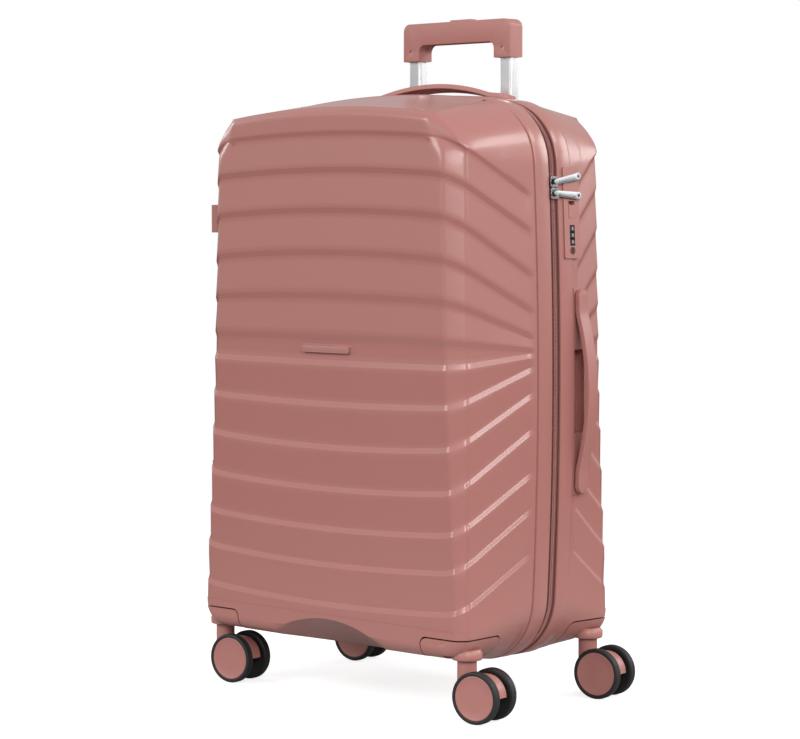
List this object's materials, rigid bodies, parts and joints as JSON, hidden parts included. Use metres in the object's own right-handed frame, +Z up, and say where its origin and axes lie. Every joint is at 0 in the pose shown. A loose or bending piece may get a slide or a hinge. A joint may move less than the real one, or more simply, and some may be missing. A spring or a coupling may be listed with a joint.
{
  "type": "hard shell suitcase on wheels",
  "caption": "Upright hard shell zip suitcase with swivel wheels, telescopic trolley handle, top and side carry handles and a combination zip lock.",
  "frame": {"origin": "on the floor, under the middle of the closed case", "axes": "+Z up along the trolley tubes, -Y out of the front face that carries the badge, +X towards the side with the lock and the side handle"},
  "size_m": [0.4545, 0.257, 0.7605],
  "materials": {
    "shell": "satin moulded polypropylene, dusty rose",
    "trim": "fine-grained, dusty rose",
    "lining": "thin woven lining",
    "panel": "fabric-covered board",
    "webbing": "ribbed webbing",
    "black_plastic": "moulded, black",
    "zip_tape": "woven tape",
    "zip_coil": "nylon coil",
    "badge": "plain plate",
    "lock_button": "moulded, dusty rose",
    "dial": "black with white digits",
    "key": "bright",
    "slider": "bright",
    "pull": "gunmetal plating",
    "tube": "drawn, bright",
    "steel": "plated",
    "housing": "moulded, dusty rose",
    "fork": "moulded, dusty rose",
    "hub": "moulded, dusty rose",
    "tyre": "black rubber"
  },
  "bodies": {
    "case": {"rear_shell": "shell", "rear_lining": "lining", "trolley_cover": "panel", "cross_straps": "webbing", "strap_buckle": "black_plastic", "rear_zip_tape": "zip_tape", "rear_zip_coil": "zip_coil", "hinge_tape": "zip_tape", "lock_housing": "trim", "trolley_bezel": "trim", "trolley_outer_tubes": "tube", "trolley_bracket": "black_plastic", "top_handle_base": "trim", "side_handle_base": "trim", "rear_side_feet": "trim", "rear_left_wheel_housing": "housing", "rear_right_wheel_housing": "housing"},
    "lid": {"front_shell": "shell", "front_lining": "lining", "front_zip_tape": "zip_tape", "front_zip_coil": "zip_coil", "badge_plate": "badge", "front_side_feet": "trim", "front_left_wheel_housing": "housing", "front_right_wheel_housing": "housing"},
    "upper_slider": {"upper_zip_slider": "slider"},
    "lower_slider": {"lower_zip_slider": "slider"},
    "upper_pull": {"upper_zip_pull": "pull"},
    "lower_pull": {"lower_zip_pull": "pull"},
    "lock_button": {"lock_button": "lock_button"},
    "dial_1": {"lock_dial_1": "dial"},
    "dial_2": {"lock_dial_2": "dial"},
    "dial_3": {"lock_dial_3": "dial"},
    "key": {"lock_key_cylinder": "key"},
    "trolley_middle": {"trolley_middle_tubes": "tube"},
    "trolley_upper": {"trolley_inner_tubes": "tube", "trolley_grip_front": "trim", "trolley_grip_rear": "trim", "trolley_grip_screws": "steel"},
    "trolley_button": {"trolley_button": "lock_button", "trolley_push_rods": "black_plastic"},
    "trolley_pins": {"trolley_lock_pins": "steel"},
    "top_handle": {"top_handle": "trim"},
    "side_handle": {"side_handle": "trim"},
    "front_left_swivel": {"front_left_fork": "fork", "front_left_caster_pins": "steel"},
    "front_left_wheels": {"front_left_wheel_hubs": "hub", "front_left_tyres": "tyre"},
    "front_right_swivel": {"front_right_fork": "fork", "front_right_caster_pins": "steel"},
    "front_right_wheels": {"front_right_wheel_hubs": "hub", "front_right_tyres": "tyre"},
    "rear_left_swivel": {"rear_left_fork": "fork", "rear_left_caster_pins": "steel"},
    "rear_left_wheels": {"rear_left_wheel_hubs": "hub", "rear_left_tyres": "tyre"},
    "rear_right_swivel": {"rear_right_fork": "fork", "rear_right_caster_pins": "steel"},
    "rear_right_wheels": {"rear_right_wheel_hubs": "hub", "rear_right_tyres": "tyre"}
  },
  "joints": [
    {"name": "lid_hinge", "type": "hinge", "parent": "case", "child": "lid", "pos_m": [-0.215, 0.0158, 0.35275], "axis": [0, 0, -1], "range_deg": [0, 155], "deforming": ["hinge_tape"]},
    {"name": "upper_slider_slide", "type": "slide", "parent": "case", "child": "upper_slider", "axis": [-0.0437, 0, 0.999], "range_m": [0, 0.012]},
    {"name": "lower_slider_slide", "type": "slide", "parent": "case", "child": "lower_slider", "axis": [0.0395, 0, -0.9992], "range_m": [0, 0.075]},
    {"name": "upper_pull_hinge", "type": "hinge", "parent": "upper_slider", "child": "upper_pull", "pos_m": [0.20949, 0.0158, 0.57212], "axis": [0.0437, 0, -0.999], "range_deg": [0, 150]},
    {"name": "lower_pull_hinge", "type": "hinge", "parent": "lower_slider", "child": "lower_pull", "pos_m": [0.21011, 0.0158, 0.55964], "axis": [0.0437, 0, -0.999], "range_deg": [0, 150]},
    {"name": "lock_button_slide", "type": "slide", "parent": "case", "child": "lock_button", "axis": [-0.0437, 0, 0.999], "range_m": [0, 0.004], "stiffness_N_per_m": 150, "springref_m": -0.004},
    {"name": "dial_1_turn", "type": "hinge", "parent": "case", "child": "dial_1", "pos_m": [0.20175, 0.043, 0.51373], "axis": [-0.0437, 0, 0.999], "continuous": true},
    {"name": "dial_2_turn", "type": "hinge", "parent": "case", "child": "dial_2", "pos_m": [0.20175, 0.043, 0.51373], "axis": [-0.0437, 0, 0.999], "continuous": true},
    {"name": "dial_3_turn", "type": "hinge", "parent": "case", "child": "dial_3", "pos_m": [0.20175, 0.043, 0.51373], "axis": [-0.0437, 0, 0.999], "continuous": true},
    {"name": "key_turn", "type": "hinge", "parent": "case", "child": "key", "pos_m": [0.20926, 0.043, 0.49754], "axis": [0.999, 0, 0.0437], "range_deg": [0, 90]},
    {"name": "trolley_middle_slide", "type": "slide", "parent": "case", "child": "trolley_middle", "axis": [0, 0, 1], "range_m": [0, 0.15]},
    {"name": "trolley_upper_slide", "type": "slide", "parent": "trolley_middle", "child": "trolley_upper", "axis": [0, 0, 1], "range_m": [-0.053, 0.15]},
    {"name": "trolley_button_press", "type": "slide", "parent": "trolley_upper", "child": "trolley_button", "axis": [0, 0, -1], "range_m": [0, 0.004], "stiffness_N_per_m": 400, "springref_m": -0.005},
    {"name": "trolley_pins_draw", "type": "slide", "parent": "trolley_upper", "child": "trolley_pins", "axis": [0, -1, 0], "range_m": [0, 0.0025]},
    {"name": "top_handle_lift", "type": "slide", "parent": "case", "child": "top_handle", "axis": [0, 0.1996, 0.9799], "range_m": [0, 0.005]},
    {"name": "side_handle_lift", "type": "slide", "parent": "case", "child": "side_handle", "axis": [0.9742, 0.2256, 0], "range_m": [0, 0.005]},
    {"name": "front_left_swivel_turn", "type": "hinge", "parent": "lid", "child": "front_left_swivel", "pos_m": [-0.1865, -0.102, 0.05], "axis": [0, 0, 1], "continuous": true},
    {"name": "front_left_wheels_roll", "type": "hinge", "parent": "front_left_swivel", "child": "front_left_wheels", "pos_m": [-0.16471, -0.09894, 0.028], "axis": [0.1392, -0.9903, 0], "continuous": true},
    {"name": "front_right_swivel_turn", "type": "hinge", "parent": "lid", "child": "front_right_swivel", "pos_m": [0.1865, -0.102, 0.05], "axis": [0, 0, 1], "continuous": true},
    {"name": "front_right_wheels_roll", "type": "hinge", "parent": "front_right_swivel", "child": "front_right_wheels", "pos_m": [0.20829, -0.09894, 0.028], "axis": [0.1392, -0.9903, 0], "continuous": true},
    {"name": "rear_left_swivel_turn", "type": "hinge", "parent": "case", "child": "rear_left_swivel", "pos_m": [-0.1865, 0.102, 0.05], "axis": [0, 0, 1], "continuous": true},
    {"name": "rear_left_wheels_roll", "type": "hinge", "parent": "rear_left_swivel", "child": "rear_left_wheels", "pos_m": [-0.16471, 0.10506, 0.028], "axis": [0.1392, -0.9903, 0], "continuous": true},
    {"name": "rear_right_swivel_turn", "type": "hinge", "parent": "case", "child": "rear_right_swivel", "pos_m": [0.1865, 0.102, 0.05], "axis": [0, 0, 1], "continuous": true},
    {"name": "rear_right_wheels_roll", "type": "hinge", "parent": "rear_right_swivel", "child": "rear_right_wheels", "pos_m": [0.20829, 0.10506, 0.028], "axis": [0.1392, -0.9903, 0], "continuous": true}
  ],
  "couplings": [
    {"joint": "trolley_pins_draw", "follows": "trolley_button_press", "ratio": 0.625}
  ]
}
